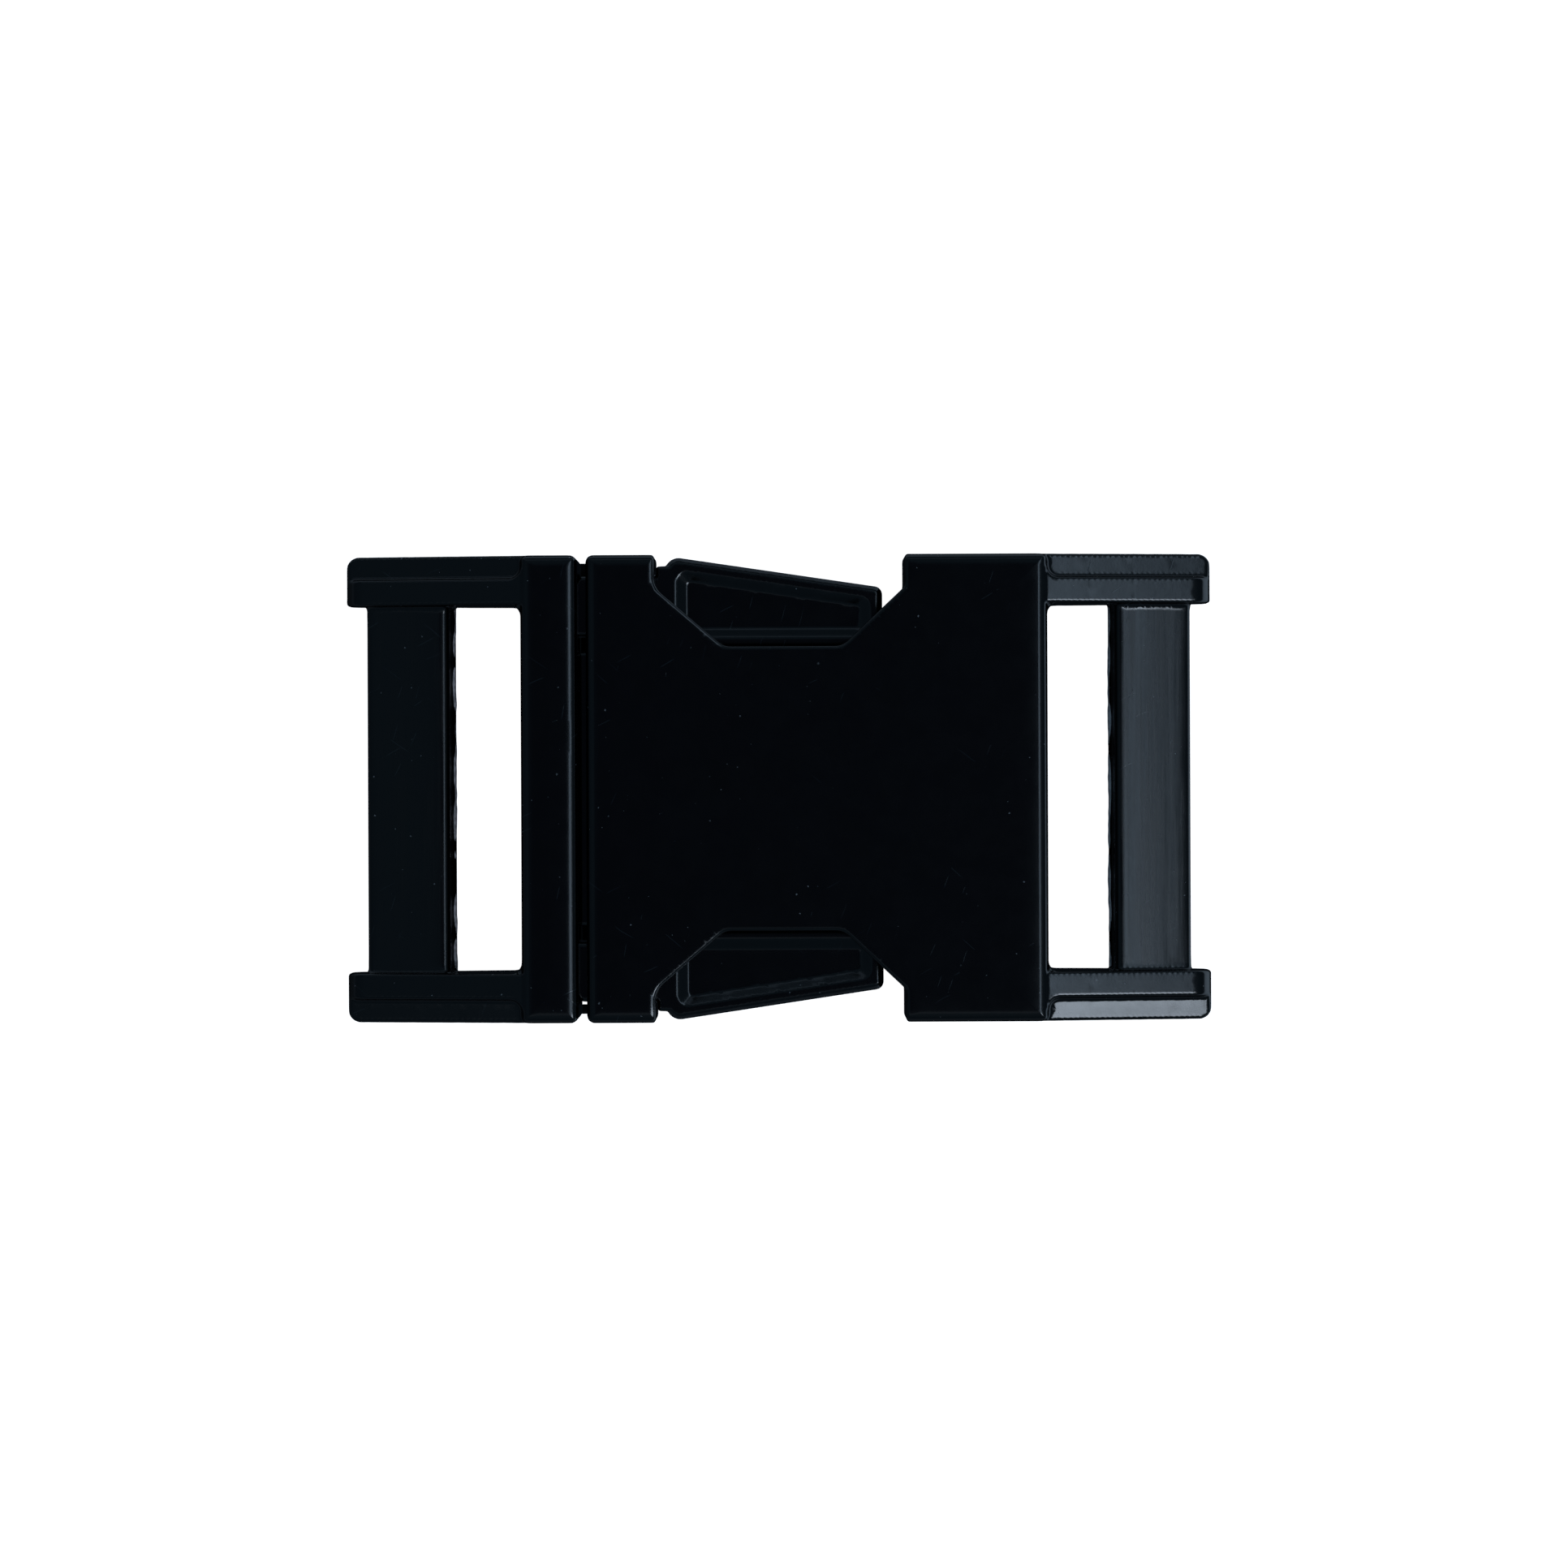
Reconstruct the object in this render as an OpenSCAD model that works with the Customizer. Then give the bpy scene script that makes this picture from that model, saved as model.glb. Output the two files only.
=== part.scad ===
// Side release buckle for flat webbing, fastened and lying face up.
// X runs along the webbing, from the male end to the female end. Y runs across it and Z is up.
// The origin is the centre of the underside. All lengths are millimetres.

/* [Webbing] */
// Width of the webbing
webbing_w = 25; // [24:0.5:38]
// Room that the slots leave beside the webbing
webbing_play = 1; // [0.4:0.1:2]

/* [Bodies] */
// Thickness of both castings, top face to underside
body_t = 9; // [8:0.1:12]
// Radius on the outer edges of the collar and the housing
edge_r = 0.45; // [0.3:0.05:0.9]
// Radius on the corners of the collar and the housing, seen from above
corner_r = 0.55; // [0.3:0.05:0.9]
// Length of the male collar
collar_l = 4; // [3.8:0.1:6]
// Gap between the collar and the housing
body_gap = 0.6; // [0.2:0.05:1]
// Length of the female housing, without its webbing frame
housing_l = 32.55; // [31:0.05:40]
// Thickness of the top and bottom plates
plate_t = 1.6; // [1.2:0.1:2]
// Thickness of the side walls
side_wall = 1.2; // [1.1:0.05:1.5]
// Thickness of the wall that closes the housing
end_wall = 3; // [1.5:0.1:3.6]

/* [Side windows] */
// Length of the housing in front of the window
mouth_l = 4.85; // [4:0.05:5.5]
// Length of the window at the side face
window_l = 17.65; // [16.6:0.05:19]
// Depth of the window, measured in from the side face
window_depth = 6.45; // [5.6:0.05:6.8]
// Depth of the window's straight sides
window_lip = 2.3; // [1.8:0.1:2.6]
// Run of the window's ramp on the latch side
ramp_latch = 4.85; // [4:0.05:5.5]
// Run of the window's ramp on the tip side
ramp_tip = 4.4; // [3.8:0.05:5.5]
// Radius where the latch side's ramp begins
latch_r = 1.4; // [0.5:0.1:2]
// Radius where the tip side's ramp begins
tip_r = 0.3; // [0.2:0.05:1]
// Radius at the window's floor
floor_r = 1.2; // [0.5:0.1:1.5]

/* [Webbing frames] */
// Width of each side arm
arm_w = 3.5; // [3:0.1:5]
// How far the arms' faces fall from the body to their ends
arm_drop = 2.6; // [1:0.1:3]
// How far inside the body that fall begins
arm_bend = 0.7; // [0.2:0.1:1.5]
// Length of the arms beyond the bar
overhang = 1.45; // [0.8:0.05:3]
// Radius on the arms' outer end corners
arm_end_r = 0.9; // [0.3:0.05:1.4]
// Radius that rolls the arms' faces down to their ends
end_roll = 1.6; // [0.5:0.1:1.7]
// Width of the lower band along each arm's outer side
band_w = 1.65; // [1:0.05:2]
// Depth of that band below the arm's face
band_step = 0.6; // [0.3:0.05:1]
// Fall of the band's face towards its outer side, in degrees
band_fall = 5; // [0:0.5:10]
// Radius where the band ends against the body
band_r = 0.8; // [0.3:0.05:1.2]
// Clear length of the male webbing slot
male_slot = 4.75; // [4.4:0.05:7]
// Clear length of the female webbing slot
female_slot = 4.45; // [4.4:0.05:7]
// Radius in the slots' corners next to the bodies
slot_r = 0.8; // [0.3:0.05:1.4]
// Length of the male bar, along the webbing's pull
male_bar = 5.9; // [4:0.1:8]
// Length of the female bar, along the webbing's pull
female_bar = 5.45; // [4:0.05:8]
// Depth of the bars below the arms' faces
bar_sink = 0.7; // [0.3:0.05:1.1]
// Radius on the bars' long edges
bar_r = 0.45; // [0.4:0.05:1.3]
// How far the casting seam stands out of each bar
seam_out = 0.35; // [0.2:0.05:0.6]
// Thickness of the casting seam
seam_t = 0.4; // [0.2:0.05:0.8]

/* [Levers] */
// Clearance above and below each lever
lever_play = 0.2; // [0.1:0.05:0.4]
// Gap between a lever's shoulder and the window's edge that it latches on
latch_gap = 0.7; // [0.2:0.05:1]
// Length of a lever's head, shoulder to tip
head_l = 15.4; // [13.5:0.1:16]
// Width of a lever's head at its tip
head_w = 4.4; // [4:0.1:4.8]
// How much narrower the head is at its tip than at its shoulder
head_taper = 2.3; // [1.6:0.1:2.6]
// How far the shoulder stays inside the bodies' side faces
head_inset = 0; // [0:0.05:0.4]
// Radius on the shoulder's outer corner
shoulder_r = 1; // [0.5:0.05:1.2]
// Radius on the head's other corners
head_r = 0.6; // [0.5:0.05:0.8]
// Size of the bevel around the head's faces
head_bevel = 0.35; // [0.2:0.05:0.4]
// Gap between the side wall's end and the foot that closes the latch gap under the shoulder
foot_gap = 0.1; // [0.08:0.01:0.2]
// How far that foot stays inside the bodies' side faces
foot_inset = 0.75; // [0.6:0.05:1]
// Gap between a lever's stem and the side wall
stem_gap = 0.25; // [0.1:0.05:0.5]
// Width of a lever's stem
stem_w = 4.2; // [3.6:0.1:4.6]
// Width of the rim around a lever's sunk face
rim_w = 0.85; // [0.6:0.05:1]
// Depth of the sunk face
face_sink = 0.4; // [0.3:0.05:1.2]
// Width of the slope from the rim down to the sunk face
face_slope = 0.7; // [0.3:0.05:0.8]
// Radius on the corners of the sunk face's rim
face_r = 0.7; // [0.4:0.05:0.8]

/* [Hinges] */
// Radius of the pivot pins
pin_r = 0.8; // [0.6:0.05:0.9]
// Radial clearance of a lever on its pin
pin_fit = 0.05; // [0.02:0.01:0.1]
// Radius of a lever's eye
eye_r = 1.6; // [1.4:0.05:1.8]
// Clearance behind a lever's eye
eye_gap = 0.2; // [0.1:0.05:0.5]
// Distance of the hinge behind the collar's front face
hinge_back = 1.4; // [1.2:0.05:1.6]
// Distance of the hinge from the side wall's inner face
hinge_in = 3.4; // [3:0.05:3.7]
// Room beside a lever's eye for its swing
swing_room = 0.6; // [0.5:0.1:1.5]
// Metal left over a pin's upper end
pin_cover = 0.8; // [0.4:0.1:1.1]
// How far a pin's lower end is sunk in the underside
pin_sink = 0.25; // [0.1:0.05:0.6]

/* [Guide tongue] */
// Length of the tongue in front of the collar
tongue_l = 25.9; // [20:0.1:28]
// Length of its broad root, which closes the gap between collar and housing
root_l = 1; // [0.8:0.1:1.2]
// Free width between the tongue and a lever
squeeze_room = 6.8; // [6.6:0.1:8]
// Radius on the tongue's corners
tongue_r = 1; // [0.5:0.1:1.2]

/* [Springs] */
// Thickness of the spring wire
wire_d = 0.35; // [0.25:0.05:0.5]
// Radius of the coil, to the middle of the wire
coil_r = 1.3; // [1:0.05:1.5]
// Turns in a spring
coil_turns = 6; // [5:0.5:9]
// Rise of the closed turn at each end of a spring
closed_rise = 0.42; // [0.4:0.01:0.55]
// Distance of a spring from the lever's shoulder
spring_back = 8; // [6:0.1:10]
// Depth of a spring's seats in the tongue and the lever
seat_depth = 1; // [0.5:0.1:1.3]
// Radial clearance around a spring in its seats
seat_gap = 0.3; // [0.15:0.05:0.35]
// Clearance at each end of a spring
seat_play = 0.05; // [0.02:0.01:0.1]

/* [Hidden] */
paint_black = [0.06, 0.08, 0.1];
lever_black = [0.12, 0.14, 0.17];
pin_steel = [0.62, 0.63, 0.65];
spring_steel = [0.72, 0.7, 0.66];
// Cutters reach this far past the faces that they cut
past = 1;
// Thickness of the thin slices that a sloped cutter is drawn between
slice = 0.01;
fine = 96;
coarse = 32;

slot_w = webbing_w + webbing_play;
half_w = slot_w / 2 + arm_w;
mid_z = body_t / 2;

// Positions along X, from the male end
male_arm_l = male_slot + seam_out + male_bar + overhang;
female_arm_l = female_slot + seam_out + female_bar + overhang;
total_l = male_arm_l + collar_l + body_gap + housing_l + female_arm_l;
collar_x = male_arm_l - total_l / 2;
front_x = collar_x + collar_l;
mouth_x = front_x + body_gap;
back_x = mouth_x + housing_l;
window_x = mouth_x + mouth_l;

// Hollow of the housing
inside_y = half_w - side_wall;
inside_x = back_x - end_wall;

// Levers, measured on the left one, which lies on the +Y side
lever_t = body_t - 2 * (plate_t + lever_play);
shoulder_x = window_x + latch_gap;
shoulder_y = half_w - head_inset;
tip_x = shoulder_x + head_l;
head_in_y = shoulder_y - head_taper - head_w;
head_slope = atan(head_taper / head_l);
stem_out_y = inside_y - stem_gap;
stem_in_y = stem_out_y - stem_w;
hinge_x = front_x - hinge_back;
hinge_y = inside_y - hinge_in;
pocket_y = hinge_y - eye_r - swing_room;

tongue_y = head_in_y - squeeze_room;
spring_x = shoulder_x + spring_back;
spring_l = squeeze_room + 2 * (seat_depth - seat_play);
seat_r = coil_r + wire_d / 2 + seat_gap;

// Half the thickness of a webbing frame at x outside its body, for arms of length l
function face_at(x, l) = mid_z - arm_drop * (x + arm_bend) / (l + arm_bend);

// Both sides of the XZ plane
module both_sides() {
    children();
    mirror([0, 1, 0]) children();
}

// Both sides of the parting plane at half the thickness
module both_faces() {
    children();
    translate([0, 0, body_t]) mirror([0, 0, 1]) children();
}

// Stands a drawing of X and Z up, and runs it across Y from -w to w
module across(w) {
    translate([0, w, 0]) rotate([90, 0, 0]) linear_extrude(2 * w) children();
}

// Rectangle from [0, 0] with rounded corners
module rounded_rect(size, r) {
    translate([r, 0]) square([size.x - 2 * r, size.y]);
    translate([0, r]) square([size.x, size.y - 2 * r]);
    for (x = [r, size.x - r], y = [r, size.y - r]) {
        translate([x, y]) circle(r, $fn = fine);
    }
}

// Block from x to x + l over the full width and thickness, with round edges and corners
module round_block(x, l) {
    intersection() {
        translate([x, -half_w, 0]) linear_extrude(body_t) rounded_rect([l, 2 * half_w], corner_r);
        translate([x, 0, 0]) across(half_w) rounded_rect([l, body_t], edge_r);
        translate([x, 0, 0]) rotate([90, 0, 90]) linear_extrude(l)
            translate([-half_w, 0]) rounded_rect([2 * half_w, body_t], edge_r);
    }
}

// Webbing frame on a body whose slot side is at x = 0, with arms that reach to x = l.
// The arms taper to both faces and carry a lower band along their outer sides.
module webbing_frame(l, slot, bar) {
    difference() {
        intersection() {
            both_sides() difference() {
                translate([-2 * arm_bend, slot_w / 2, 0]) linear_extrude(body_t) square([l + 2 * arm_bend, arm_w]);
                arm_corner(l);
            }
            across(half_w) arm_profile(l);
        }
        both_faces() both_sides() band_cut(l);
    }
    slot_fillets();
    bar_solid(l, slot, bar);
}

// Side view of an arm, from inside its body to its rolled end
module arm_profile(l) {
    roll_x = l - end_roll;
    hull() {
        translate([-2 * arm_bend, 0]) square([arm_bend, body_t]);
        for (side = [-1, 1]) {
            translate([roll_x, mid_z + side * (face_at(roll_x, l) - end_roll)]) circle(end_roll, $fn = fine);
        }
    }
}

// What rounding takes off the outer end corner of an arm
module arm_corner(l) {
    translate([l - arm_end_r, half_w - arm_end_r, -past]) linear_extrude(body_t + 2 * past) difference() {
        square(arm_end_r + past);
        circle(arm_end_r, $fn = fine);
    }
}

// Takes the band's step out of an arm's upper side, with a round inner end
module band_cut(l) {
    low_x = -3 * arm_bend;
    intersection() {
        translate([0, half_w - band_w, 0]) linear_extrude(body_t + past) union() {
            translate([band_r, 0]) square([l, band_w + past]);
            translate([low_x, band_r]) square([l - low_x + past, band_w + past]);
            translate([band_r, band_r]) circle(band_r, $fn = fine);
        }
        translate([0, half_w - band_w, mid_z - band_step]) rotate([-band_fall, 0, 0]) across(body_t) polygon([
            [low_x, face_at(low_x, l)],
            [l + past, face_at(l + past, l)],
            [l + past, body_t],
            [low_x, body_t]
        ]);
    }
}

// Rounds the slot's two corners next to the body
module slot_fillets() {
    both_sides() translate([0, slot_w / 2, edge_r]) linear_extrude(body_t - 2 * edge_r) difference() {
        translate([-arm_bend, -slot_r]) square([arm_bend + slot_r, slot_r + arm_bend]);
        translate([slot_r, -slot_r]) circle(slot_r, $fn = fine);
    }
}

// Bar that the webbing loops around, with the casting seam on its slot side
module bar_solid(l, slot, bar) {
    x0 = slot + seam_out;
    into_arm = arm_w / 2;
    across(slot_w / 2 + into_arm) hull() {
        for (x = [x0 + bar_r, x0 + bar - bar_r], side = [-1, 1]) {
            translate([x, mid_z + side * (face_at(x, l) - bar_sink - bar_r)]) circle(bar_r, $fn = coarse);
        }
    }
    translate([slot, -slot_w / 2 - into_arm, mid_z - seam_t / 2])
        cube([seam_out + bar_r, slot_w + 2 * into_arm, seam_t]);
}

// Circles that round one side of a window, whose straight side stands at x = 0
module window_side(ramp, lip_r) {
    angle = atan((window_depth - window_lip) / ramp);
    translate([lip_r, half_w + past]) circle(lip_r, $fn = coarse);
    translate([lip_r, half_w - window_lip + lip_r * tan(45 - angle / 2)]) circle(lip_r, $fn = coarse);
    translate([ramp + floor_r * tan(angle / 2), half_w - window_depth + floor_r]) circle(floor_r, $fn = coarse);
}

// Window in the housing's side, through both plates, seen from above
module window_outline() {
    hull() {
        translate([window_x, 0]) window_side(ramp_latch, latch_r);
        translate([window_x + window_l, 0]) mirror([1, 0]) window_side(ramp_tip, tip_r);
    }
}

module female_body() {
    color(paint_black) union() {
        difference() {
            round_block(mouth_x, housing_l);
            translate([mouth_x - past, -inside_y, plate_t])
                cube([inside_x - mouth_x + past, 2 * inside_y, body_t - 2 * plate_t]);
            both_sides() translate([0, 0, -past]) linear_extrude(body_t + 2 * past) window_outline();
        }
        translate([back_x, 0, 0]) webbing_frame(female_arm_l, female_slot, female_bar);
    }
}

// Tongue that guides the male end and carries the springs' inner seats, with its broad root
module guide_tongue() {
    length = tongue_l + tongue_r + past;
    difference() {
        translate([front_x + tongue_l - length, -tongue_y, mid_z - lever_t / 2])
            linear_extrude(lever_t) rounded_rect([length, 2 * tongue_y], tongue_r);
        both_sides() spring_seat(tongue_y - seat_depth, seat_depth + past);
    }
    translate([front_x - past, -pocket_y, mid_z - lever_t / 2]) cube([past + root_l, 2 * pocket_y, lever_t]);
}

// Round seat for the end of a spring, from y over the length l
module spring_seat(y, l) {
    translate([spring_x, y + l, mid_z]) rotate([90, 0, 0]) cylinder(h = l, r = seat_r, $fn = fine);
}

// Hole for a pivot pin, closed by the top face
module pin_hole() {
    translate([hinge_x, hinge_y, -past]) cylinder(h = body_t - pin_cover + past, r = pin_r, $fn = fine);
}

// Room in the collar for a lever's eye and its swing
module eye_pocket() {
    depth = hinge_back + eye_r + eye_gap;
    translate([front_x - depth, pocket_y, plate_t]) cube([depth + past, inside_y - pocket_y, body_t - 2 * plate_t]);
}

module male_frame() {
    color(paint_black) union() {
        difference() {
            round_block(collar_x, collar_l);
            both_sides() eye_pocket();
            both_sides() pin_hole();
        }
        translate([collar_x, 0, 0]) mirror([1, 0, 0]) webbing_frame(male_arm_l, male_slot, male_bar);
        guide_tongue();
    }
}

// Centres of the circles that round the head's four corners, for an outline set in by inset
function head_corners(inset, r) =
    let (
        low_x = shoulder_x + inset + r,
        high_x = tip_x - inset - r,
        down = (inset + r) / cos(head_slope)
    )
    [
        [low_x, shoulder_y - (low_x - shoulder_x) * tan(head_slope) - down],
        [high_x, shoulder_y - (high_x - shoulder_x) * tan(head_slope) - down],
        [high_x, head_in_y + inset + r],
        [low_x, head_in_y + inset + r]
    ];

// Sunk upper face of a lever's head, a hollow with sloping sides
module sunk_face() {
    inner_r = face_r / 2;
    top = mid_z + lever_t / 2;
    hull() {
        for (p = head_corners(rim_w, face_r)) {
            translate([p.x, p.y, top]) cylinder(h = slice, r = face_r, $fn = coarse);
        }
        for (p = head_corners(rim_w + face_slope, inner_r)) {
            translate([p.x, p.y, top - face_sink]) cylinder(h = slice, r = inner_r, $fn = coarse);
        }
    }
}

// Head of a lever, with a bevel around its upper and lower face
module lever_head() {
    radii = [shoulder_r, head_r, head_r, head_r];
    hull() {
        for (i = [0 : 3]) {
            translate(head_corners(0, radii[i])[i]) {
                translate([0, 0, head_bevel]) cylinder(h = lever_t - 2 * head_bevel, r = radii[i], $fn = coarse);
                cylinder(h = lever_t, r = radii[i] - head_bevel, $fn = coarse);
            }
        }
    }
}

// Lever on the +Y side: eye, stem with its foot, and head with the shoulder that latches
module lever() {
    low_z = mid_z - lever_t / 2;
    color(lever_black) difference() {
        union() {
            translate([hinge_x, hinge_y, low_z]) cylinder(h = lever_t, r = eye_r, $fn = fine);
            translate([0, 0, low_z]) linear_extrude(lever_t) polygon([
                [hinge_x, hinge_y + eye_r],
                [hinge_x + eye_r, stem_out_y],
                [window_x + foot_gap, stem_out_y],
                [window_x + foot_gap, half_w - foot_inset],
                [shoulder_x + shoulder_r, half_w - foot_inset],
                [shoulder_x + 2 * head_r, head_in_y],
                [hinge_x + eye_r, stem_in_y],
                [hinge_x, hinge_y - eye_r]
            ]);
            translate([0, 0, low_z]) lever_head();
        }
        translate([hinge_x, hinge_y, 0]) cylinder(h = body_t, r = pin_r + pin_fit, $fn = fine);
        both_faces() sunk_face();
        spring_seat(head_in_y - past, seat_depth + past);
    }
}

module pivot_pin() {
    color(pin_steel) translate([hinge_x, hinge_y, pin_sink])
        cylinder(h = body_t - pin_cover - pin_sink, r = pin_r, $fn = fine);
}

// Place of the wire's middle along the coil after that many turns, with a closed turn at each end
function coil_rise(turn) =
    let (open_rise = (spring_l - wire_d - 2 * closed_rise) / (coil_turns - 2))
    wire_d / 2 + closed_rise * min(turn, 1)
    + open_rise * min(max(turn - 1, 0), coil_turns - 2)
    + closed_rise * max(turn - coil_turns + 1, 0);

// Compression spring between the tongue and the left lever
module spring() {
    wire_sides = 8;
    turn_steps = 20;
    rings = round(coil_turns * turn_steps);
    points = [
        for (i = [0 : rings], j = [0 : wire_sides - 1])
            let (
                turn = i / turn_steps,
                along = coil_rise(turn) + wire_d / 2 * sin(360 * j / wire_sides),
                out = coil_r + wire_d / 2 * cos(360 * j / wire_sides)
            )
            [out * cos(360 * turn), along, out * sin(360 * turn)]
    ];
    sides = [
        for (i = [0 : rings - 1], j = [0 : wire_sides - 1])
            let (a = i * wire_sides + j, b = i * wire_sides + (j + 1) % wire_sides)
            [a, b, b + wire_sides, a + wire_sides]
    ];
    first_cap = [for (j = [wire_sides - 1 : -1 : 0]) j];
    last_cap = [for (j = [0 : wire_sides - 1]) rings * wire_sides + j];
    color(spring_steel)
        translate([spring_x, tongue_y - seat_depth + seat_play, mid_z])
            polyhedron(points = points, faces = concat([first_cap], sides, [last_cap]));
}

female_body();
male_frame();
lever();  // lever_left
mirror([0, 1, 0]) lever();  // lever_right
pivot_pin();  // pivot_pin_left
mirror([0, 1, 0]) pivot_pin();  // pivot_pin_right
spring();  // spring_left
mirror([0, 1, 0]) spring();  // spring_right
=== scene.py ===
"""Side release buckle: painted castings with rolled edges, pins and springs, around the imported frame."""
import math

import bpy
import numpy as np
import openvdb
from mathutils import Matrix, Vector, noise


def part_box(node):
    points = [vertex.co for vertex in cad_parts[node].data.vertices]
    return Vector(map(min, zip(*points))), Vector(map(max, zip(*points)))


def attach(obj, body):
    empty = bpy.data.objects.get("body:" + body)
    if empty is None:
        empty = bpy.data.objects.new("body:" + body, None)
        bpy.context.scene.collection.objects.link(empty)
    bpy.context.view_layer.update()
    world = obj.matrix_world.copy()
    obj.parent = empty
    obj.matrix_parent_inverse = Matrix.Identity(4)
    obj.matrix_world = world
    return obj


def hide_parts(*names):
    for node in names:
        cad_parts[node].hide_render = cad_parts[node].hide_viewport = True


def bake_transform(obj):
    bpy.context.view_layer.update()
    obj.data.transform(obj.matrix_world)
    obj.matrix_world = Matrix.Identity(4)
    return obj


MM = 0.001
MICRON = 1e-6

# Sizes in mm
VOXEL = 0.08
LEVER_VOXEL = 0.06
CASTING_EDGE = 0.16
CASTING_FILLET = 0.16
LEVER_EDGE = 0.18
LEVER_FILLET = 0.05
FLATNESS = 0.02
# From each end of the buckle to the slot side of its bar
BAR_FROM_END = {"male_frame": 7.35, "female_body": 6.9}
HALF_WIDTH = 16.5
COLLAR_X = (-18.2, -14.2)
HOUSING_X = (-13.6, 18.95)
# The plates fall this much towards their borders, over about this distance
PLATE_FALL = 0.17
PLATE_SHOULDER = 0.55
BAR_MIDDLE = 26.4
BAR_HALF = 2.8
# Heights that the crown and the soft shoulders of a bar's face fall from its middle to its edge
BAR_CROWN = 0.045
BAR_SHOULDER = 0.03
# The bars' finish fades in over these distances from the buckle's middle, and out over these to each side
BAR_FROM_X = (22.4, 23.0)
BAR_TO_Y = (12.4, 12.9)
SEAM_OUT = 0.35
SEAM_WAVE = 0.07
SEAM_LIFT = 0.08
# Length and place in the noise of the waves in the flash's reach, long and short, and in its height
SEAM_WAVES = ((2.6, 0), (0.7, 5), (1.9, 9))
# Share of the short wave against the long one
SHORT_WAVE = 0.6
SEAM_T = 0.4
SEAM_ROOT = 0.5
SEAM_HALF_L = 13.2
SEAM_RINGS = 265
PIN_R = 0.8
PIN_CHAMFER = 0.12
WIRE_D = 0.35
COIL_R = 1.3
COIL_TURNS = 6
CLOSED_RISE = 0.42

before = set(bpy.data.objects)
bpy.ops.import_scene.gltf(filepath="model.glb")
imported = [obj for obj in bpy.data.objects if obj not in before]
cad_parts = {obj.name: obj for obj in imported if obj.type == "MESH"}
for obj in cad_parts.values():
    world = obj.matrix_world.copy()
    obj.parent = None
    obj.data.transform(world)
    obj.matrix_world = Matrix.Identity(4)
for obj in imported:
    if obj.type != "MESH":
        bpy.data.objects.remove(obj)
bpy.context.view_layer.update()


def box_mm(node):
    """Lowest and highest corners of a CAD node, in mm."""
    low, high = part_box(node)
    return Vector(low) / MM, Vector(high) / MM


# Surfaces from the CAD solids

def solid_arrays(node):
    """Points in mm and triangles of a CAD node."""
    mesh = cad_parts[node].data
    mesh.calc_loop_triangles()
    points = np.zeros(len(mesh.vertices) * 3, np.float32)
    mesh.vertices.foreach_get("co", points)
    triangles = np.zeros(len(mesh.loop_triangles) * 3, np.int32)
    mesh.loop_triangles.foreach_get("vertices", triangles)
    return points.reshape(-1, 3) / MM, triangles.reshape(-1, 3).astype(np.uint32)


def distance_field(points, triangles, quads, voxel, reach):
    """Signed distances within reach of a closed surface, in mm, on a grid of that spacing."""
    return openvdb.FloatGrid.createLevelSetFromPolygons(
        points.astype(np.float32),
        triangles=triangles,
        quads=quads,
        transform=openvdb.createLinearTransform(voxel),
        halfWidth=reach / voxel + 3,
    )


def rolled_surface(points, triangles, voxel, edge, fillet):
    """The surface with edges rounded to the radius edge and corners filled to the radius fillet.

    Shrinking and growing it back rounds the edges. Growing and shrinking it back fills the corners.
    """
    quads = None
    for offset in (-edge, edge + fillet):
        grid = distance_field(points, triangles, quads, voxel, abs(offset))
        points, triangles, quads = grid.convertToPolygons(isovalue=offset)
    grid = distance_field(points, triangles, quads, voxel, fillet)
    return grid, grid.convertToPolygons(isovalue=-fillet, adaptivity=FLATNESS)


class Samples:
    """Reads a distance field between its grid points."""

    def __init__(self, grid, voxel, points):
        self.voxel = voxel
        self.corner = np.floor(points.min(axis=0) / voxel).astype(int) - 3
        size = np.ceil(points.max(axis=0) / voxel).astype(int) + 4 - self.corner
        self.values = np.zeros(size, np.float32)
        grid.copyToArray(self.values, ijk=tuple(int(v) for v in self.corner))

    def at(self, points):
        place = points / self.voxel - self.corner
        cell = np.floor(place).astype(int)
        part = place - cell
        total = np.zeros(len(points))
        for dx in (0, 1):
            for dy in (0, 1):
                for dz in (0, 1):
                    share = np.prod(np.abs(1 - np.array([dx, dy, dz]) - part), axis=1)
                    total += share * self.values[cell[:, 0] + dx, cell[:, 1] + dy, cell[:, 2] + dz]
        return total

    def normals(self, points):
        step = self.voxel
        slope = np.stack([
            self.at(points + step * axis) - self.at(points - step * axis)
            for axis in np.eye(3)
        ], axis=1)
        return slope / np.maximum(np.linalg.norm(slope, axis=1, keepdims=True), 1e-9)


def mesh_object(name, points, faces):
    """A smooth mesh object from points in mm and lists of triangles and quads."""
    mesh = bpy.data.meshes.new(name)
    mesh.vertices.add(len(points))
    mesh.vertices.foreach_set("co", (points * MM).astype(np.float32).ravel())
    corners = np.concatenate([f.ravel() for f in faces]).astype(np.int32)
    sides = np.concatenate([np.full(len(f), f.shape[1]) for f in faces])
    mesh.loops.add(len(corners))
    mesh.loops.foreach_set("vertex_index", corners)
    mesh.polygons.add(len(sides))
    mesh.polygons.foreach_set("loop_start", (np.cumsum(sides) - sides).astype(np.int32))
    mesh.update(calc_edges=True)
    mesh.validate()
    mesh.shade_smooth()
    obj = bpy.data.objects.new(name, mesh)
    bpy.context.scene.collection.objects.link(obj)
    return obj


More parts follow.
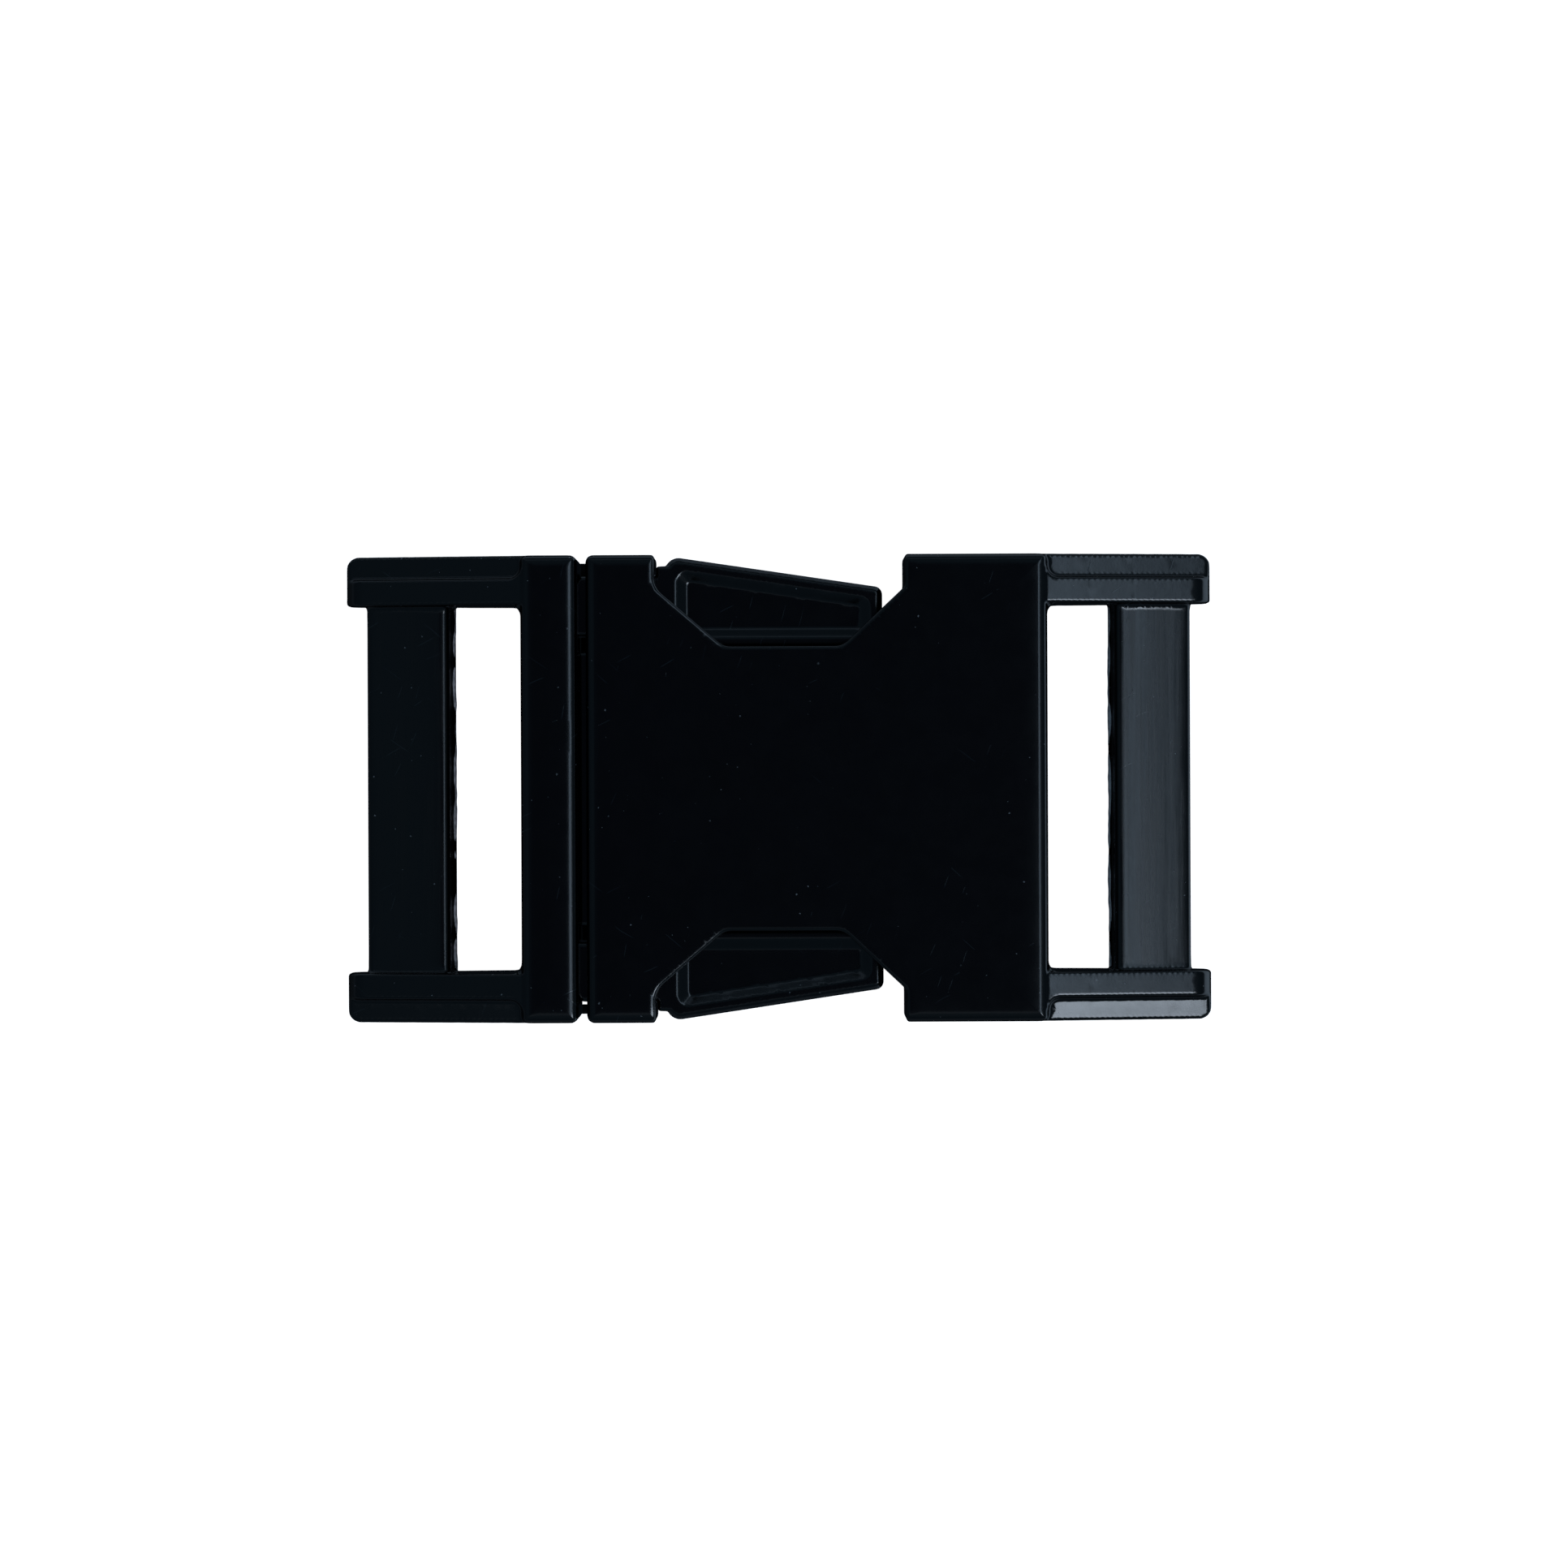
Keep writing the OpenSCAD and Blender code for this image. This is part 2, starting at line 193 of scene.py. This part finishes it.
def casting(name, node, body, voxel, edge, fillet):
    """A casting that stands for a CAD node, with rolled edges."""
    solid_points, solid_triangles = solid_arrays(node)
    grid, (points, triangles, quads) = rolled_surface(solid_points, solid_triangles, voxel, edge, fillet)
    obj = mesh_object(name, points, [triangles[:, ::-1], quads[:, ::-1]])
    normals = Samples(grid, voxel, solid_points).normals(points)
    obj.data.normals_split_custom_set_from_vertices(normals.tolist())
    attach(obj, body)
    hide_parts(node)
    return obj


# Pieces swept from rings of points

def swept(name, rings):
    """A smooth skin over an array of rings of points in mm, with a flat cap at each end."""
    count, sides = rings.shape[:2]
    here = np.arange(sides)
    after = (here + 1) % sides
    start = np.arange(count - 1)[:, None] * sides
    quads = np.stack([start + here, start + after, start + after + sides, start + here + sides], axis=-1)
    last = (count - 1) * sides
    first_cap = np.stack([0 * here[2:], here[2:], here[1:-1]], axis=1)
    last_cap = np.stack([last + 0 * here[2:], last + here[1:-1], last + here[2:]], axis=1)
    obj = mesh_object(name, rings.reshape(-1, 3), [quads.reshape(-1, 4), first_cap, last_cap])
    obj.data.set_sharp_from_angle(angle=math.radians(40))
    return obj


def seam(name, node):
    """The thin wavy flash that the mould left along the slot side of a bar."""
    low, high = box_mm(node)
    inward = 1 if node == "male_frame" else -1
    slot_side = (low.x if inward > 0 else high.x) + inward * BAR_FROM_END[node]
    angles = np.radians(np.linspace(-90, 90, 9))
    rings = []
    for y in np.linspace(-SEAM_HALF_L, SEAM_HALF_L, SEAM_RINGS):
        long_wave, short_wave, height_wave = (
            noise.noise(Vector((y / length, slot_side, row))) for length, row in SEAM_WAVES
        )
        reach = SEAM_OUT + SEAM_WAVE * (long_wave + SHORT_WAVE * short_wave)
        out = np.concatenate([[-SEAM_ROOT], reach * np.cos(angles) ** 0.7, [-SEAM_ROOT]])
        up = np.concatenate([[-1], np.sin(angles), [1]]) * SEAM_T / 2
        z = (low.z + high.z) / 2 + SEAM_LIFT * height_wave + up
        ring = np.stack([slot_side + inward * out, np.full(len(out), y), z], axis=1)
        rings.append(ring if inward > 0 else ring[::-1])
    obj = swept(name, np.array(rings))
    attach(obj, "buckle")
    return obj


def pivot_pin(name, node):
    """A turned pin with chamfered ends, around its own origin."""
    low, high = box_mm(node)
    length = high.z - low.z
    angles = np.radians(np.arange(0, 360, 7.5))
    end_r = PIN_R - PIN_CHAMFER
    profile = [(end_r, 0), (PIN_R, PIN_CHAMFER), (PIN_R, length - PIN_CHAMFER), (end_r, length)]
    rings = [[(r * math.cos(a), r * math.sin(a), z) for a in angles] for r, z in profile]
    obj = swept(name, np.array(rings))
    obj.location = Vector(((low.x + high.x) / 2, (low.y + high.y) / 2, low.z)) * MM
    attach(obj, "buckle")
    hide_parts(node)
    return obj


def coil_spring(name, node, side):
    """A compression spring with closed ends, along its CAD node."""
    low, high = box_mm(node)
    middle = (low + high) / 2
    length = high.y - low.y
    turn = np.linspace(0, COIL_TURNS, COIL_TURNS * 40 + 1)[:, None]
    wire = np.radians(np.arange(0, 360, 36))
    open_rise = (length - WIRE_D - 2 * CLOSED_RISE) / (COIL_TURNS - 2)
    rise = CLOSED_RISE * np.minimum(turn, 1) + open_rise * np.clip(turn - 1, 0, COIL_TURNS - 2)
    rise = rise + CLOSED_RISE * np.maximum(turn - COIL_TURNS + 1, 0)
    along = WIRE_D / 2 * (1 + np.sin(wire)) + rise
    out = COIL_R + WIRE_D / 2 * np.cos(wire)
    start_y = low.y if side > 0 else high.y
    rings = np.stack([
        middle.x + out * np.cos(2 * math.pi * turn),
        start_y + side * along,
        middle.z + out * np.sin(2 * math.pi * turn),
    ], axis=-1)
    obj = swept(name, rings if side > 0 else rings[:, ::-1])
    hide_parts(node)
    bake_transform(obj)
    return obj


# Materials

class Nodes:
    """Adds shader nodes to a tree."""

    def __init__(self, tree):
        self.tree = tree

    def add(self, kind, **inputs):
        node = self.tree.nodes.new(kind)
        for key, value in inputs.items():
            self.put(node, key.replace("_", " "), value)
        return node

    def put(self, node, key, value):
        if isinstance(value, bpy.types.NodeSocket):
            self.tree.links.new(value, node.inputs[key])
        else:
            node.inputs[key].default_value = value

    def math(self, operation, a, b=0.0, clamp=False):
        node = self.tree.nodes.new("ShaderNodeMath")
        node.operation = operation
        node.use_clamp = clamp
        self.put(node, 0, a)
        self.put(node, 1, b)
        return node.outputs[0]

    def vector(self, operation, a, b=None, scale=None):
        node = self.tree.nodes.new("ShaderNodeVectorMath")
        node.operation = operation
        self.put(node, 0, a)
        if b is not None:
            self.put(node, 1, b)
        if scale is not None:
            self.put(node, "Scale", scale)
        return node.outputs[0]

    def split(self, place):
        node = self.add("ShaderNodeSeparateXYZ", Vector=place)
        return node.outputs

    def steps(self, value, low, high, out_low=0.0, out_high=1.0):
        """Runs smoothly from out_low to out_high as the value goes from low to high."""
        node = self.tree.nodes.new("ShaderNodeMapRange")
        node.interpolation_type = "SMOOTHSTEP"
        self.put(node, "Value", value)
        limits = {"From Min": low, "From Max": high, "To Min": out_low, "To Max": out_high}
        for key, number in limits.items():
            self.put(node, key, number)
        return node.outputs["Result"]


class Graph(Nodes):
    """The nodes of a new material. Places and sizes in it are in mm."""

    def __init__(self, name):
        self.material = bpy.data.materials.new(name)
        self.material.use_nodes = True
        super().__init__(self.material.node_tree)
        self.shader = self.tree.nodes["Principled BSDF"]
        object_place = self.add("ShaderNodeTexCoord").outputs["Object"]
        self.place = self.vector("SCALE", object_place, scale=1 / MM)

    def noise(self, size, detail=2.0, place=None):
        """Soft noise from 0 to 1 with features of about that size."""
        node = self.add("ShaderNodeTexNoise", Scale=1 / size, Detail=detail)
        self.put(node, "Vector", place or self.place)
        return node.outputs["Fac"]

    def specks(self, spacing, radius, share, seed):
        """Small round specks, 1 inside, on that share of the cells."""
        shift = self.vector("ADD", self.place, (seed, 2 * seed, 3 * seed))
        wander = self.add("ShaderNodeTexNoise", Scale=8.0, Vector=shift).outputs["Color"]
        wobble = self.vector("SCALE", wander, scale=0.12)
        node = self.add("ShaderNodeTexVoronoi", Scale=1 / spacing, Vector=self.vector("ADD", shift, wobble))
        draw = self.split(node.outputs["Color"])
        chosen = self.math("GREATER_THAN", draw[0], 1 - share)
        size = self.steps(draw[1], 0.0, 1.0, 0.4 * radius / spacing, radius / spacing)
        near = self.math("SUBTRACT", 1.0, self.math("DIVIDE", node.outputs["Distance"], size), clamp=True)
        return self.math("MULTIPLY", self.steps(near, 0.0, 0.5), chosen)

    def fibres(self, spacing, radius, width, share, seed):
        """Short curved fibres, quarter rings of that radius on that share of the cells."""
        shift = self.vector("ADD", self.place, (seed, 2 * seed, 3 * seed))
        node = self.add("ShaderNodeTexVoronoi", Scale=1 / spacing, Vector=shift)
        chosen = self.math("GREATER_THAN", self.split(node.outputs["Color"])[0], 1 - share)
        off_ring = self.math("ABSOLUTE", self.math("SUBTRACT", node.outputs["Distance"], radius / spacing))
        ring = self.steps(off_ring, 0.4 * width / spacing, width / spacing, 1.0, 0.0)
        cells = self.vector("SCALE", shift, scale=1 / spacing)
        away = self.split(self.vector("SUBTRACT", cells, node.outputs["Position"]))
        quarter = self.math("GREATER_THAN", self.math("MINIMUM", away[0], away[1]), -0.2 * radius / spacing)
        return self.math("MULTIPLY", self.math("MULTIPLY", ring, quarter), chosen)

    def scratches(self, angle, length, width, gap, share, seed):
        """Fine slightly bent scratches in one direction, about gap apart, 1 along their middles."""
        bend = self.add("ShaderNodeTexNoise", Scale=0.2, Detail=1.0, Vector=self.place).outputs["Color"]
        bent = self.vector("ADD", self.place, self.vector("SCALE", bend, scale=1.2))
        turn = self.add("ShaderNodeMapping", Vector=bent)
        turn.vector_type = "TEXTURE"
        turn.inputs["Location"].default_value = (seed, seed, 0)
        turn.inputs["Rotation"].default_value = (0, 0, math.radians(angle))
        turn.inputs["Scale"].default_value = (2 * length, gap, gap)
        node = self.add("ShaderNodeTexVoronoi", Scale=1.0, Vector=turn.outputs[0])
        chosen = self.math("GREATER_THAN", self.split(node.outputs["Color"])[0], 1 - share)
        away = self.split(self.vector("SUBTRACT", turn.outputs[0], node.outputs["Position"]))
        across = self.steps(self.math("ABSOLUTE", away[1]), 0.2 * width / gap, width / gap, 1.0, 0.0)
        along = self.steps(self.math("ABSOLUTE", away[0]), 0.12, 0.25, 1.0, 0.0)
        return self.math("MULTIPLY", self.math("MULTIPLY", along, across), chosen)

    def mix(self, share, a, b):
        """Mix of two colours."""
        node = self.tree.nodes.new("ShaderNodeMix")
        node.data_type = "RGBA"
        self.put(node, 0, share)
        self.put(node, 6, a)
        self.put(node, 7, b)
        return node.outputs[2]

    def bump(self, height, depth, normal=None):
        """Normals of a height from 0 to 1 that stands for depth in metres."""
        node = self.add("ShaderNodeBump", Strength=1.0, Distance=depth, Height=height)
        if normal is not None:
            self.put(node, "Normal", normal)
        return node.outputs[0]


def plate_depth(g):
    """Distance of a place on the collar or the housing from its nearest outer border, in mm."""
    x, y, _ = g.split(g.place)
    inside = [
        g.math("MINIMUM", g.math("SUBTRACT", x, low), g.math("SUBTRACT", high, x))
        for low, high in (COLLAR_X, HOUSING_X)
    ]
    across = g.math("SUBTRACT", HALF_WIDTH, g.math("ABSOLUTE", y))
    return g.math("MAXIMUM", g.math("MINIMUM", g.math("MAXIMUM", *inside), across), 0.0)


def bar_face(g):
    """Share of a place that is on a bar's face, and its height over the face's middle in mm."""
    x, y, _ = g.split(g.place)
    on_bar = g.math(
        "MULTIPLY",
        g.steps(g.math("ABSOLUTE", x), *BAR_FROM_X),
        g.steps(g.math("ABSOLUTE", y), *BAR_TO_Y, 1.0, 0.0),
    )
    from_middle = g.math("SUBTRACT", g.math("ABSOLUTE", x), BAR_MIDDLE)
    off = g.math("ABSOLUTE", g.math("DIVIDE", from_middle, BAR_HALF))
    crown = g.math("MULTIPLY", g.math("POWER", off, 2.0), -BAR_CROWN)
    shoulder = g.math("MULTIPLY", g.math("POWER", off, 8.0), -BAR_SHOULDER)
    return on_bar, g.math("MULTIPLY", g.math("ADD", crown, shoulder), on_bar)


PAINT_TONES = ((0.0001, 0.0002, 0.0003, 1), (0.0002, 0.0004, 0.0006, 1))
PAINT_ROUGHNESS = (0.165, 0.185)
SCRATCH_TONE = (0.012, 0.017, 0.021, 1)
DUST_TONE = (0.14, 0.155, 0.17, 1)
# Angle in degrees, length, width, distance apart, share of places and seed of each set of scratches
SCRATCHES = (
    (28, 1.4, 0.035, 2.4, 0.3, 5.0),
    (-37, 2.0, 0.03, 3.1, 0.3, 9.0),
    (71, 1.2, 0.03, 1.9, 0.3, 1.0),
)


def black_paint(name, is_body):
    """Satin black paint on a casting, with orange peel, dust specks, fibres and fine scratches.

    A body's plates fall softly towards their borders, and its bars are crowned and streaked by the webbing.
    """
    g = Graph(name)
    dusty = g.steps(g.noise(5.0, 1.0), 0.45, 0.62)
    scratched = g.steps(g.noise(7.0, 1.0), 0.48, 0.6)
    if is_body:
        depth = plate_depth(g)
        dusty = g.math("MAXIMUM", dusty, g.steps(depth, 0.6, 2.5, 0.8, 0.0))
    dust = g.math("MAXIMUM", g.specks(1.5, 0.1, 0.5, 3.0), g.specks(0.7, 0.07, 0.5, 11.0))
    dust = g.math("MAXIMUM", g.math("MULTIPLY", dust, dusty), g.fibres(7.0, 0.4, 0.05, 0.1, 4.0))
    marks = [g.scratches(*row) for row in SCRATCHES]
    marks = g.math("MAXIMUM", g.math("MAXIMUM", marks[0], marks[1]), marks[2])
    marks = g.math("MULTIPLY", marks, scratched)
    tone = g.mix(g.steps(g.noise(3.5, 3.0), 0.35, 0.65), *PAINT_TONES)
    tone = g.mix(marks, tone, SCRATCH_TONE)
    tone = g.mix(dust, tone, DUST_TONE)
    g.put(g.shader, "Base Color", tone)
    rough = g.steps(g.noise(1.4, 4.0), 0.3, 0.7, *PAINT_ROUGHNESS)
    rough = g.math("ADD", rough, g.math("MULTIPLY", dust, 0.3))
    normal = g.bump(g.noise(0.9, 2.0), 3 * MICRON)
    normal = g.bump(g.noise(0.12, 3.0), 1.6 * MICRON, normal)
    if is_body:
        on_bar, face_height = bar_face(g)
        streaks = g.noise(0.22, 3.0, g.vector("MULTIPLY", g.place, (1.0, 0.03, 0.2)))
        wide = g.noise(1.3, 2.0, g.vector("MULTIPLY", g.place, (1.0, 0.06, 0.2)))
        both = g.math("ADD", g.math("MULTIPLY", streaks, 0.5), g.math("MULTIPLY", wide, 0.5))
        rough = g.math("ADD", rough, g.math("MULTIPLY", on_bar, g.steps(both, 0.35, 0.65, 0.0, 0.14)))
        normal = g.bump(face_height, MM, normal)
        normal = g.bump(g.math("MULTIPLY", on_bar, streaks), 2 * MICRON, normal)
        fall = g.math("EXPONENT", g.math("DIVIDE", depth, -PLATE_SHOULDER))
        normal = g.bump(g.math("MULTIPLY", fall, -PLATE_FALL), MM, normal)
    g.put(g.shader, "Roughness", rough)
    g.put(g.shader, "Normal", g.bump(marks, -2 * MICRON, normal))
    return g.material


def flash_paint(name, dark, light, bare):
    """The flash's rubbed paint between two tones, with bare metal on up to that share of it. A copy given
    very bright tones is painted light.
    """
    g = Graph(name)
    g.put(g.shader, "Base Color", g.mix(g.steps(g.noise(0.35, 4.0), 0.35, 0.65), (*dark, 1), (*light, 1)))
    g.put(g.shader, "Metallic", g.steps(g.noise(0.8, 3.0), 0.3, 0.6, 0.0, bare))
    g.put(g.shader, "Roughness", g.steps(g.noise(0.2, 3.0), 0.3, 0.7, 0.4, 0.6))
    g.put(g.shader, "Normal", g.bump(g.noise(0.15, 3.0), 12 * MICRON))
    return g.material


def turned_steel():
    """Steel turned on a lathe: rings around the pin's own axis and a little tarnish."""
    g = Graph("turned_steel")
    x, y, z = g.split(g.place)
    radius = g.math("SQRT", g.math("ADD", g.math("MULTIPLY", x, x), g.math("MULTIPLY", y, y)))
    rings = g.add("ShaderNodeCombineXYZ", X=radius, Y=0.0, Z=z).outputs[0]
    grooves = g.noise(0.05, 2.0, rings)
    tarnish = g.steps(g.noise(0.8, 3.0), 0.4, 0.65)
    g.put(g.shader, "Metallic", 1.0)
    g.put(g.shader, "Base Color", g.mix(tarnish, (0.55, 0.56, 0.58, 1), (0.36, 0.34, 0.32, 1)))
    g.put(g.shader, "Roughness", g.steps(grooves, 0.3, 0.7, 0.22, 0.38))
    g.put(g.shader, "Normal", g.bump(grooves, 6 * MICRON))
    return g.material


def drawn_wire():
    """Bright drawn spring wire with fine lines and a little oil stain."""
    g = Graph("drawn_wire")
    stain = g.steps(g.noise(0.9, 3.0), 0.45, 0.7)
    g.put(g.shader, "Metallic", 1.0)
    g.put(g.shader, "Base Color", g.mix(stain, (0.6, 0.59, 0.56, 1), (0.4, 0.36, 0.3, 1)))
    g.put(g.shader, "Roughness", g.steps(g.noise(0.08, 3.0), 0.3, 0.7, 0.2, 0.36))
    g.put(g.shader, "Normal", g.bump(g.noise(0.05, 2.0), 3 * MICRON))
    return g.material


# Pieces

body_paint = black_paint("black_paint", True)
lever_paint = black_paint("black_lever_paint", False)
for name, node in (("female", "female_body"), ("male", "male_frame")):
    obj = casting(f"{name}_casting", node, "buckle", VOXEL, CASTING_EDGE, CASTING_FILLET)
    obj.data.materials.append(body_paint)
for side_name in ("left", "right"):
    node = f"lever_{side_name}"
    obj = casting(
        f"{node}_casting", node, f"{side_name}_lever", LEVER_VOXEL, LEVER_EDGE, LEVER_FILLET,
    )
    obj.data.materials.append(lever_paint)
# The male flash has the rubbed paint's own tones; the female flash is a far brighter copy, painted light
# that stands in for light bounced up into its shaded slot
worn_paint = flash_paint("worn_paint", (0.18, 0.16, 0.16), (0.4, 0.36, 0.37), 0.1)
flash_with_painted_light = flash_paint("flash_with_painted_light", (0.7, 0.68, 0.68), (0.95, 0.92, 0.92), 0.1)
seam("male_flash", "male_frame").data.materials.append(worn_paint)
seam("female_flash", "female_body").data.materials.append(flash_with_painted_light)
steel = turned_steel()
wire = drawn_wire()
for side_name, side in (("left", 1), ("right", -1)):
    pin = pivot_pin(f"pin_{side_name}", f"pivot_pin_{side_name}")
    pin.data.materials.append(steel)
    spring = coil_spring(f"coil_{side_name}", f"spring_{side_name}", side)
    spring.data.materials.append(wire)


# Floor

# Stretches of floor painted black and unlit as shade under the narrow gap between the castings, as their
# low and high X and low and high Y in mm
PAINTED_SHADE_FLOOR = (
    (-16, -12, -14.3, 16.2),
    (-16, -12, -16.2, -15.5),
)


def pale_floor():
    """A wide white floor that stays white behind the object, but for painted shade: black, unlit strips
    under the narrow gap between the castings.
    """
    bpy.ops.mesh.primitive_plane_add(size=4, location=(0, 0, 0))
    floor = bpy.context.object
    floor.name = "floor"
    floor.visible_glossy = False
    g = Graph("floor_white")
    floor.data.materials.append(g.material)
    x, y, _ = g.split(g.place)
    # Painted shade mask: 1 on the strips of floor painted black
    dark = 0.0
    for low_x, high_x, low_y, high_y in PAINTED_SHADE_FLOOR:
        strip = 1.0
        for value, low, high in ((x, low_x, high_x), (y, low_y, high_y)):
            strip = g.math("MULTIPLY", strip, g.math("GREATER_THAN", value, low))
            strip = g.math("MULTIPLY", strip, g.math("LESS_THAN", value, high))
        dark = g.math("MAXIMUM", dark, strip)
    # Painted shade: the strips get a black colour and no glow
    g.put(g.shader, "Base Color", g.mix(dark, (0.9, 0.9, 0.9, 1), (0, 0, 0, 1)))
    g.put(g.shader, "Roughness", 0.9)
    g.put(g.shader, "Emission Color", (1, 1, 1, 1))
    g.put(g.shader, "Emission Strength", g.math("SUBTRACT", 1.0, dark))


pale_floor()

# Camera
TOP_Z = box_mm("female_body")[1].z
CAMERA_DISTANCE = 410
CAMERA_FOOT_Y = 1.4
CAMERA_ROLL = math.radians(-0.24)
FRAME_WIDTH = 110.4
aim = Vector((0.35, 0.31, TOP_Z))
place = Vector((aim.x, CAMERA_FOOT_Y, TOP_Z + CAMERA_DISTANCE))
camera = bpy.data.objects.new("camera", bpy.data.cameras.new("camera"))
bpy.context.scene.collection.objects.link(camera)
camera.location = place * MM
camera.rotation_euler = (math.atan2(aim.y - place.y, CAMERA_DISTANCE), 0, CAMERA_ROLL)
camera.data.sensor_width = 36
camera.data.lens = 36 * CAMERA_DISTANCE / FRAME_WIDTH
camera.data.clip_start = 0.01
bpy.context.scene.camera = camera
bpy.context.scene.view_settings.view_transform = "Standard"

# Light
LAMP_DISTANCE = 1.2
DAYLIGHT = (0.6, 0.79, 1.0)
# Colours overhead by the height that one looks at, from 0 level to 1 straight up
CEILING = (
    (0.0, (0.04, 0.06, 0.085)),
    (0.5, (0.05, 0.085, 0.12)),
    (0.92, (0.066, 0.108, 0.15)),
    (0.985, (0.022, 0.031, 0.052)),
)
# Name, degrees right and back of the zenith, degrees wide and deep, radiance and colour
LAMPS = (
    ("strip_softbox", 23.6, 8, 9, 60, 2.25, DAYLIGHT),
    ("front_softbox", 26, -18, 12, 14, 8.5, (0.76, 0.87, 1.0)),
    ("front_window", -6, -19, 40, 5, 0.22, (0.8, 0.9, 1.0)),
    ("back_window", 0, 50, 70, 9, 0.35, DAYLIGHT),
)
# Brightness of the white sheet's far parts to the right, left, back and front
SHEET = (1.2, 0.06, 0.45, 0.12)


def studio_world():
    """A dark blue studio with a darker ceiling, over a white sheet that is dark under the object."""
    world = bpy.data.worlds.new("studio")
    bpy.context.scene.world = world
    world.use_nodes = True
    g = Nodes(world.node_tree)
    x, y, z = g.split(g.add("ShaderNodeTexCoord").outputs["Generated"])
    ramp = g.add("ShaderNodeValToRGB", Fac=z)
    stops = ramp.color_ramp.elements
    while len(stops) < len(CEILING):
        stops.new(1)
    for stop, (height, colour) in zip(stops, CEILING):
        stop.position = height
        stop.color = (*colour, 1)
    sheet = 0.0
    for axis, way, brightness in ((x, 1, SHEET[0]), (x, -1, SHEET[1]), (y, 1, SHEET[2]), (y, -1, SHEET[3])):
        side = g.math("MAXIMUM", g.math("MULTIPLY", axis, way), 0.0)
        sheet = g.math("ADD", sheet, g.math("MULTIPLY", g.math("POWER", side, 2.0), brightness))
    sheet = g.math("MULTIPLY", sheet, g.steps(z, 0.02, 0.14, 1.0, 0.0))
    sheet = g.math("MULTIPLY", sheet, g.steps(z, -0.8, -0.5))
    overhead = g.vector("SCALE", ramp.outputs["Color"], scale=g.steps(z, -0.3, 0.0, 0.08, 1.0))
    light = g.vector("ADD", overhead, g.vector("SCALE", DAYLIGHT, scale=sheet))
    g.put(g.tree.nodes["Background"], "Color", light)


def softbox(name, right, back, width, depth, radiance, colour):
    """A rectangular lamp, right and back degrees off the zenith and that many degrees wide and deep."""
    direction = Vector((math.tan(math.radians(right)), math.tan(math.radians(back)), 1)).normalized()
    data = bpy.data.lights.new(name, "AREA")
    data.shape = "RECTANGLE"
    data.size = 2 * LAMP_DISTANCE * math.tan(math.radians(width / 2))
    data.size_y = 2 * LAMP_DISTANCE * math.tan(math.radians(depth / 2))
    data.energy = radiance * math.pi * data.size * data.size_y
    data.color = colour
    lamp = bpy.data.objects.new(name, data)
    bpy.context.scene.collection.objects.link(lamp)
    lamp.location = LAMP_DISTANCE * direction
    lamp.rotation_euler = Vector((0, 0, 1)).rotation_difference(direction).to_euler()
    lamp.visible_camera = False


studio_world()
for lamp_row in LAMPS:
    softbox(*lamp_row)

bpy.context.view_layer.update()
